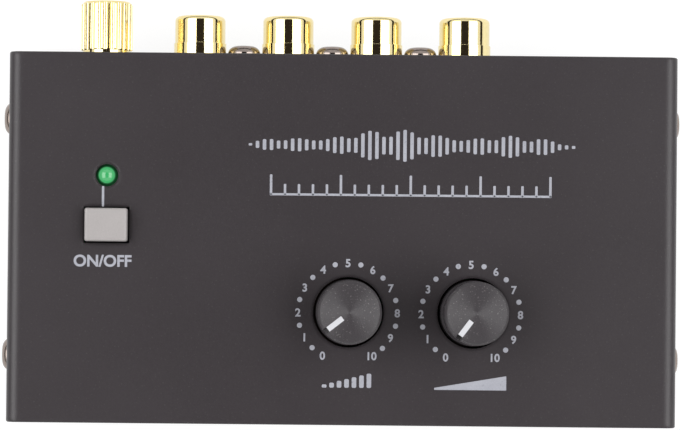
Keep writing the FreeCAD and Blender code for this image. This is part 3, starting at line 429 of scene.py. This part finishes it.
def join(parts: list[Object], name: str, body: str, finish: Finish) -> Object:
    """Joins parts to one named piece that rides on a body.

    Args:
        parts: Meshes whose places are applied.
        name: The piece's name.
        body: The CAD body that it rides on.
        finish: Its finish.

    Returns:
        The joined piece.
    """
    deselect()
    for part in parts:
        part.select_set(True)
    piece = parts[0]
    bpy.context.view_layer.objects.active = piece
    if len(parts) > 1:
        bpy.ops.object.join()
    piece.name = name
    piece.data.name = name
    piece.data.materials.clear()
    piece.data.materials.append(finish.build())
    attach(piece, body)
    log.info("%s: %d faces on %s", name, len(piece.data.polygons), body)
    return piece


@dataclass
class Ink:
    """Raised pad printing on the top of the cover, in millimetres."""

    depth: float = 0.02
    rise: float = 0.03
    crown: float = 0.008
    crown_inset: float = 0.06
    boldness: float = 0.04
    size_share: float = 1.37
    corner_share: float = 0.3
    corner_steps: int = 4
    dot_sides: int = 28
    curve_steps: int = 5
    weld: float = 0.0005

    def lift(self, piece: Object) -> Object:
        """Extrudes a flat patch to the ink's thickness and crowns its face.

        Args:
            piece: A flat patch with its place applied.

        Returns:
            The same piece, closed.
        """
        deselect()
        piece.select_set(True)
        bpy.context.view_layer.objects.active = piece
        bpy.ops.object.mode_set(mode="EDIT")
        bpy.ops.mesh.select_all(action="SELECT")
        bpy.ops.mesh.extrude_region_move(
            TRANSFORM_OT_translate={"value": (0, 0, (self.depth + self.rise - self.crown) * MM)})
        bpy.ops.mesh.inset(thickness=self.crown_inset * MM, depth=self.crown * MM)
        bpy.ops.mesh.select_all(action="SELECT")
        bpy.ops.mesh.normals_make_consistent(inside=False)
        bpy.ops.object.mode_set(mode="OBJECT")
        return piece

    def dot(self, x: float, y: float, across: float) -> Object:
        """A round printed dot.

        Args:
            x: Its middle along X.
            y: Its middle along Y.
            across: Its diameter.

        Returns:
            The dot.
        """
        deselect()
        bpy.ops.mesh.primitive_circle_add(
            vertices=self.dot_sides, radius=across / 2 * MM, fill_type="NGON",
            location=(x * MM, y * MM, (PANEL_TOP - self.depth) * MM))
        piece = bpy.context.object
        settle(piece)
        return self.lift(piece)

    def bar(self, x: float, y: float, width: float, height: float, left_share: float = 1.0) -> Object:
        """A printed bar with soft corners.

        Args:
            x: Its middle along X.
            y: Its foot line's middle when it tapers, otherwise its middle along Y.
            width: Its length along X.
            height: Its length along Y.
            left_share: How tall its left end is, as a share of its right end.

        Returns:
            The bar.
        """
        deselect()
        bpy.ops.mesh.primitive_plane_add(size=1, location=(x * MM, y * MM, (PANEL_TOP - self.depth) * MM))
        piece = bpy.context.object
        piece.scale = (width * MM, height * MM, 1)
        settle(piece)
        if left_share != 1.0:
            for vertex in piece.data.vertices:
                vertex.select = vertex.co.x < x * MM
            for part in (*piece.data.edges, *piece.data.polygons):
                part.select = False
            bpy.ops.object.mode_set(mode="EDIT")
            bpy.ops.mesh.select_mode(type="VERT")
            foot = Vector(((x - width / 2) * MM, (y - height / 2) * MM, (PANEL_TOP - self.depth) * MM))
            bpy.ops.transform.resize(value=(1, left_share, 1), center_override=foot)
            bpy.ops.object.mode_set(mode="OBJECT")
        bpy.ops.object.mode_set(mode="EDIT")
        bpy.ops.mesh.select_all(action="SELECT")
        corner = min(width, height * min(left_share, 1.0)) * self.corner_share * MM
        bpy.ops.mesh.bevel(offset=corner, segments=self.corner_steps, affect="VERTICES")
        bpy.ops.object.mode_set(mode="OBJECT")
        return self.lift(piece)

    def word(self, text: str, x: float, y: float, height: float) -> Object:
        """Printed figures or letters, upright and centred.

        Args:
            text: What is printed.
            x: Their middle along X.
            y: Their middle along Y.
            height: How tall they are.

        Returns:
            The figures as a mesh.
        """
        deselect()
        bpy.ops.object.text_add(location=(0, 0, 0))
        piece = bpy.context.object
        piece.data.body = text
        piece.data.size = height * self.size_share * MM
        piece.data.offset = self.boldness * height * MM
        piece.data.extrude = (self.depth + self.rise) / 2 * MM
        piece.data.resolution_u = self.curve_steps
        bpy.ops.object.convert(target="MESH")
        piece = bpy.context.object
        corners = [Vector(corner) for corner in piece.bound_box]
        low = Vector([min(corner[i] for corner in corners) for i in range(3)])
        high = Vector([max(corner[i] for corner in corners) for i in range(3)])
        share = height * MM / (high.y - low.y)
        piece.scale = (share, share, 1)
        middle = (low + high) / 2
        piece.location = (x * MM - middle.x * share, y * MM - middle.y * share,
                          (PANEL_TOP - self.depth) * MM - low.z)
        settle(piece)
        bpy.ops.object.mode_set(mode="EDIT")
        bpy.ops.mesh.select_all(action="SELECT")
        bpy.ops.mesh.remove_doubles(threshold=self.weld * MM)
        bpy.ops.mesh.normals_make_consistent(inside=False)
        bpy.ops.object.mode_set(mode="OBJECT")
        return piece


@dataclass
class Dial:
    """One rotary control: knob, pointer, shaft, its potentiometer, and the printed scale round it."""

    label: str
    axis: tuple[float, float]
    scale_centre: tuple[float, float]
    scale_radius: float = 8.0
    figure_height: float = 1.34
    dot_size: float = 0.84
    first_angle: float = -150.0
    step_angle: float = 30.0
    last_figure: int = 10
    ink: Ink = field(default_factory=Ink)

    def knob_finish(self) -> Finish:
        """Chooses the knob's own plastic, whose turning rings are about its axis.

        Returns:
            The knob's finish.
        """
        # ABS knob with a turned face: grey, fine rings about the axis and dust caught at the rim
        return Finish(f"turned_grey_abs_{self.label}", "#383437", "#423E41", 0.30, grain=Grain.RINGS,
                      grain_mm=0.16, relief_mm=0.013, tone_mm=7.0, edge_mm=0.14,
                      centre=(*self.axis, PANEL_TOP), fleck="#8D8A89", fleck_mm=0.22, fleck_share=0.45)

    def spot(self, angle: float) -> tuple[float, float]:
        """The place on the scale at an angle clockwise from the rear.

        Args:
            angle: Degrees.

        Returns:
            X and Y in millimetres.
        """
        turn = math.radians(angle)
        return (self.scale_centre[0] + self.scale_radius * math.sin(turn),
                self.scale_centre[1] + self.scale_radius * math.cos(turn))

    def build(self) -> None:
        """Prints the figures 0 to 10 and the dots between them."""
        figures = [self.ink.word(str(k), *self.spot(self.first_angle + k * self.step_angle),
                                 self.figure_height) for k in range(self.last_figure + 1)]
        join(figures, f"{self.label}_scale_figures", "case", PAD_INK)
        dots = [self.ink.dot(*self.spot(self.first_angle + (k + 0.5) * self.step_angle), self.dot_size)
                for k in range(self.last_figure)]
        join(dots, f"{self.label}_scale_dots", "case", PAD_INK)

    def dress(self) -> None:
        """Gives the control's CAD nodes their finishes."""
        paint(f"{self.label}_knob", self.knob_finish())
        paint(f"{self.label}_pointer", POINTER_WHITE)
        paint(f"{self.label}_shaft", TURNED_STEEL)
        paint(f"{self.label}_wiper", BLACK_NYLON)
        paint(f"{self.label}_pot_body", PHENOLIC)
        paint(f"{self.label}_pot_frame", ZINC_PLATE)
        paint(f"{self.label}_bushing", DIE_CAST)
        paint(f"{self.label}_terminals", TINNED_COPPER)


@dataclass
class PanelPrinting:
    """The marks on the cover away from the dials, all of them plain and generic."""

    ink: Ink = field(default_factory=Ink)
    switch_mark: tuple[float, float] = (-38.57, -8.3)
    switch_mark_height: float = 1.95
    link_x: float = -38.6
    link_reach: tuple[float, float] = (0.43, 3.74)
    link_width: float = 0.38
    wave_middle: tuple[float, float] = (11.1, 10.7)
    wave_width: float = 53.2
    wave_height: float = 5.3
    wave_bars: int = 47
    wave_bar_share: float = 0.5
    wave_swell: float = 0.6
    wave_quiet: float = 0.35
    wave_beats: tuple[float, float] = (9.4, 2.3)
    rule_middle: tuple[float, float] = (10.95, 4.2)
    rule_width: float = 45.4
    rule_height: float = 3.4
    rule_line: float = 0.36
    rule_tick: float = 0.4
    rule_ticks: int = 20
    rule_long_every: int = 5
    rule_short_share: float = 0.55
    steps_middle: tuple[float, float] = (0.9, -27.2)
    steps_count: int = 7
    steps_pitch: float = 1.2
    steps_width: float = 0.75
    steps_first: float = 0.5
    steps_rise: float = 0.3
    steps_foot: float = 1.15
    wedge_middle: tuple[float, float] = (20.8, -27.4)
    wedge_size: tuple[float, float] = (11.6, 2.3)
    wedge_share: float = 0.14

    def build(self) -> None:
        """Prints the switch mark, the link line, the wave, the rule and the two dial signs."""
        self.print_switch()
        self.print_wave()
        self.print_rule()
        self.print_signs()

    def print_switch(self) -> None:
        """Prints ON and OFF by the button and the line from the lamp to it."""
        word = self.ink.word("ON/OFF", *self.switch_mark, self.switch_mark_height)
        join([word], "switch_mark", "case", PAD_INK)
        low, high = self.link_reach
        line = self.ink.bar(self.link_x, (low + high) / 2, self.link_width, high - low)
        join([line], "lamp_link_line", "case", PAD_INK)

    def print_wave(self) -> None:
        """Prints a row of bars like a sound wave, where the photograph has words."""
        pitch = self.wave_width / self.wave_bars
        bars = []
        for k in range(self.wave_bars):
            share = (k + 0.5) / self.wave_bars
            swell = math.sin(math.pi * share) ** self.wave_swell
            fast, slow = (beats * share * math.pi for beats in self.wave_beats)
            beat = self.wave_quiet + (1 - self.wave_quiet) * abs(math.sin(fast) * math.cos(slow))
            x = self.wave_middle[0] + (share - 0.5) * self.wave_width
            bars.append(self.ink.bar(x, self.wave_middle[1], pitch * self.wave_bar_share,
                                     self.wave_height * swell * beat))
        join(bars, "wave_print", "case", PAD_INK)

    def print_rule(self) -> None:
        """Prints a plain ruled line with long and short ticks."""
        x, y = self.rule_middle
        foot = y - self.rule_height / 2
        ticks = [self.ink.bar(x, foot + self.rule_tick / 2, self.rule_width, self.rule_line)]
        for k in range(self.rule_ticks + 1):
            share = 1 if k % self.rule_long_every == 0 else self.rule_short_share
            tall = self.rule_height * share
            ticks.append(self.ink.bar(x + (k / self.rule_ticks - 0.5) * (self.rule_width - self.rule_tick),
                                      foot + tall / 2, self.rule_tick, tall))
        join(ticks, "rule_print", "case", PAD_INK)

    def print_signs(self) -> None:
        """Prints rising steps under the first dial and a rising wedge under the second."""
        x, y = self.steps_middle
        steps = []
        for k in range(self.steps_count):
            tall = self.steps_first + self.steps_rise * k
            steps.append(self.ink.bar(x + (k - self.steps_count // 2) * self.steps_pitch,
                                      y - self.steps_foot + tall / 2, self.steps_width, tall))
        join(steps, "rising_steps_print", "case", PAD_INK)
        wedge = self.ink.bar(*self.wedge_middle, *self.wedge_size, left_share=self.wedge_share)
        join([wedge], "rising_wedge_print", "case", PAD_INK)


@dataclass
class PowerSwitch:
    """The latching switch with its cap, and the lamp beside it."""

    lamp_axis: tuple[float, float] = (-38.0, 5.5)

    def dress(self) -> None:
        """Gives the switch and the lamp their finishes."""
        paint("power_button_cap", CAP_ABS)
        paint("power_switch_body", BLACK_NYLON)
        paint("power_switch_plunger", BLACK_NYLON)
        paint("power_switch_spring", TURNED_STEEL)
        paint("power_switch_terminals", TINNED_COPPER)
        # Clear green epoxy, cast, with a wet gloss; a painted glow makes it bright in the middle and dark
        # towards the rim
        paint("led_lens", LitLens("green_led_epoxy_painted_glow", "#0F5C2C", "#0B4A22", 0.08, coat=0.6,
                                  relief_mm=0.0005, centre=(*self.lamp_axis, PANEL_TOP)))
        paint("led_leads", TINNED_COPPER)
        paint("led_spacer", BLACK_NYLON)


@dataclass
class RearFittings:
    """The signal sockets, the ground post and the power inlet."""

    def dress(self) -> None:
        """Gives each fitting its finish."""
        for node in ("jack_shells", "ground_nut", "ground_washer", "ground_stud", "ground_lock_nut"):
            paint(node, GOLD_PLATE)
        paint("jack_inserts_left", WHITE_ACETAL)
        paint("jack_inserts_right", RED_ACETAL)
        paint("jack_screws", ZINC_PLATE)
        for node in ("jack_housing", "ground_bushes", "dc_jack_housing"):
            paint(node, BLACK_NYLON)
        for node in ("jack_contacts", "ground_tag", "dc_jack_pin", "dc_jack_contacts"):
            paint(node, TINNED_COPPER)


@dataclass
class Electronics:
    """The circuit board and what stands on it."""

    def dress(self) -> None:
        """Gives the board and its parts their finishes."""
        paint("circuit_board", MASKED_BOARD)
        paint("component_leads", TINNED_COPPER)
        paint("op_amp_legs", TINNED_COPPER)
        paint("op_amp_chips", BLACK_NYLON)
        paint("rectifier_diode", BLACK_NYLON)
        paint("electrolytic_capacitors", PVC_SLEEVE)
        paint("film_capacitors", DIPPED_EPOXY)
        paint("resistors", LACQUER)


@dataclass(frozen=True)
class DarkCard:
    """A dark card that only reflections see, in metres and degrees."""

    name: str
    place: tuple[float, float, float]
    size: tuple[float, float]
    turn: tuple[float, float, float] = (0.0, 0.0, 0.0)


@dataclass
class Studio:
    """The floor, the world, two softboxes with a dark gap between them, and the camera."""

    camera_foot: tuple[float, float] = (-9.14, -14.33)
    camera_height: float = 530.0
    lens: float = 164.4
    shift: tuple[float, float] = (0.081, 0.0493)
    lean: float = 0.95
    roll: float = 0.56
    softbox_power: float = 7.4
    softbox_side: float = 0.62
    softbox_height: float = 0.80
    softbox_size: tuple[float, float] = (0.75, 1.1)
    softbox_turn: float = 38.0
    world_strength: float = 0.16
    floor_size: float = 8.0
    floor_drop: float = 0.0001
    paper: str = "#D9D9D9"
    paper_seen: str = "#8C8C8C"
    paper_glow: float = 0.84
    card_colour: str = "#2E2A2A"
    cards: tuple[DarkCard, ...] = (
        DarkCard("dark_card_over", (0.0, 0.0, 1.0), (0.66, 1.1)),
        DarkCard("dark_card_front", (0.0, -1.2, 0.22), (2.6, 0.3), (90.0, 0.0, 0.0)),
        DarkCard("dark_card_left", (-1.3, 0.0, 0.24), (0.3, 2.4), (0.0, 90.0, 0.0)),
        DarkCard("dark_card_rear", (0.0, 1.2, 0.22), (2.6, 0.3), (90.0, 0.0, 0.0)),
        DarkCard("dark_card_right", (1.3, 0.0, 0.24), (0.3, 2.4), (0.0, 90.0, 0.0)),
    )

    def build(self) -> None:
        """Sets up all that lights the object and sees it."""
        self.lay_floor()
        self.light_world()
        for side in (-1, 1):
            self.hang_softbox(side)
        for card in self.cards:
            self.hang_card(card)
        self.place_camera()

    def seen(self, tree: NodeTree) -> NodeSocket:
        """Adds the test for rays that show a surface rather than light it.

        Args:
            tree: The tree that gets the nodes.

        Returns:
            One for camera, glossy and transmission rays.
        """
        rays = add_node(tree, "ShaderNodeLightPath")
        first = add_node(tree, "ShaderNodeMath", {
            0: rays.outputs["Is Camera Ray"], 1: rays.outputs["Is Glossy Ray"]}, operation="MAXIMUM")
        both = add_node(tree, "ShaderNodeMath", {
            0: first.outputs[0], 1: rays.outputs["Is Transmission Ray"]}, operation="MAXIMUM")
        return both.outputs[0]

    def lay_floor(self) -> None:
        """Lays a wide pale floor that renders white and keeps the shadow."""
        deselect()
        bpy.ops.mesh.primitive_plane_add(size=self.floor_size, location=(0, 0, -self.floor_drop))
        floor = bpy.context.object
        floor.name = "studio_floor"
        material = bpy.data.materials.new("white_paper_sweep")
        material.use_nodes = True
        tree = material.node_tree
        tree.nodes.clear()
        paper = add_node(tree, "ShaderNodeBsdfDiffuse", {"Color": linear(self.paper)})
        shade = add_node(tree, "ShaderNodeBsdfDiffuse", {"Color": linear(self.paper_seen)})
        glow = add_node(tree, "ShaderNodeEmission", {
            "Color": (1, 1, 1, 1), "Strength": self.paper_glow})
        lit = add_node(tree, "ShaderNodeAddShader", {0: shade.outputs[0], 1: glow.outputs[0]})
        mixed = add_node(tree, "ShaderNodeMixShader", {
            0: self.seen(tree), 1: paper.outputs[0], 2: lit.outputs[0]})
        add_node(tree, "ShaderNodeOutputMaterial", {"Surface": mixed.outputs[0]})
        floor.data.materials.append(material)

    def light_world(self) -> None:
        """Makes the world white to look at and even in its light."""
        world = bpy.data.worlds.new("studio_world")
        bpy.context.scene.world = world
        world.use_nodes = True
        tree = world.node_tree
        tree.nodes.clear()
        light = add_node(tree, "ShaderNodeBackground", {
            "Color": (1, 1, 1, 1), "Strength": self.world_strength})
        look = add_node(tree, "ShaderNodeBackground", {"Color": (1, 1, 1, 1), "Strength": 1.0})
        mixed = add_node(tree, "ShaderNodeMixShader", {
            0: self.seen(tree), 1: light.outputs[0], 2: look.outputs[0]})
        add_node(tree, "ShaderNodeOutputWorld", {"Surface": mixed.outputs[0]})

    def hang_softbox(self, side: int) -> None:
        """Hangs a softbox above one side, turned to the object.

        Args:
            side: Minus one for the left, one for the right.
        """
        deselect()
        bpy.ops.object.light_add(type="AREA", location=(side * self.softbox_side, 0.0,
                                                          self.softbox_height))
        lamp = bpy.context.object
        lamp.name = "softbox_left" if side < 0 else "softbox_right"
        lamp.data.shape = "RECTANGLE"
        lamp.data.size, lamp.data.size_y = self.softbox_size
        lamp.data.energy = self.softbox_power
        lamp.rotation_euler = (0, side * math.radians(self.softbox_turn), 0)

    def hang_card(self, card: DarkCard) -> None:
        """Hangs one dark card.

        Args:
            card: Its name, place, size and turn.
        """
        deselect()
        bpy.ops.mesh.primitive_plane_add(size=1, location=card.place,
                                         rotation=[math.radians(angle) for angle in card.turn])
        sheet = bpy.context.object
        sheet.name = card.name
        sheet.scale = (*card.size, 1.0)
        settle(sheet)
        material = bpy.data.materials.get("black_velvet_card")
        if not material:
            material = bpy.data.materials.new("black_velvet_card")
            material.use_nodes = True
            tree = material.node_tree
            tree.nodes.clear()
            dim = add_node(tree, "ShaderNodeEmission", {"Color": linear(self.card_colour), "Strength": 1.0})
            add_node(tree, "ShaderNodeOutputMaterial", {"Surface": dim.outputs[0]})
        sheet.data.materials.append(material)
        sheet.visible_camera = False
        sheet.visible_diffuse = False
        sheet.visible_transmission = False
        sheet.visible_shadow = False

    def place_camera(self) -> None:
        """Sets the camera straight above the object, as in the photograph."""
        deselect()
        bpy.ops.object.camera_add(
            location=(self.camera_foot[0] * MM, self.camera_foot[1] * MM, self.camera_height * MM),
            rotation=(math.radians(self.lean), 0, math.radians(self.roll)))
        camera = bpy.context.object
        camera.name = "photo_camera"
        camera.data.sensor_fit = "HORIZONTAL"
        camera.data.sensor_width = 36
        camera.data.lens = self.lens
        camera.data.shift_x, camera.data.shift_y = self.shift
        camera.data.clip_start = 0.01
        bpy.context.scene.camera = camera


def main() -> None:
    """Builds the studio, dresses the frame and prints the panel."""
    logging.basicConfig(level=logging.INFO, format="%(name)s %(message)s", stream=sys.stdout)
    bpy.context.scene.view_settings.view_transform = "Standard"
    Studio().build()
    Case().dress()
    dials = (
        Dial("level", (1.1, -16.2), (0.97, -16.3)),
        Dial("volume", (21.1, -16.2), (20.8, -16.39)),
    )
    for dial in dials:
        dial.dress()
        dial.build()
    PanelPrinting().build()
    PowerSwitch().dress()
    RearFittings().dress()
    Electronics().dress()
    deselect()


if __name__ == "__main__":
    main()
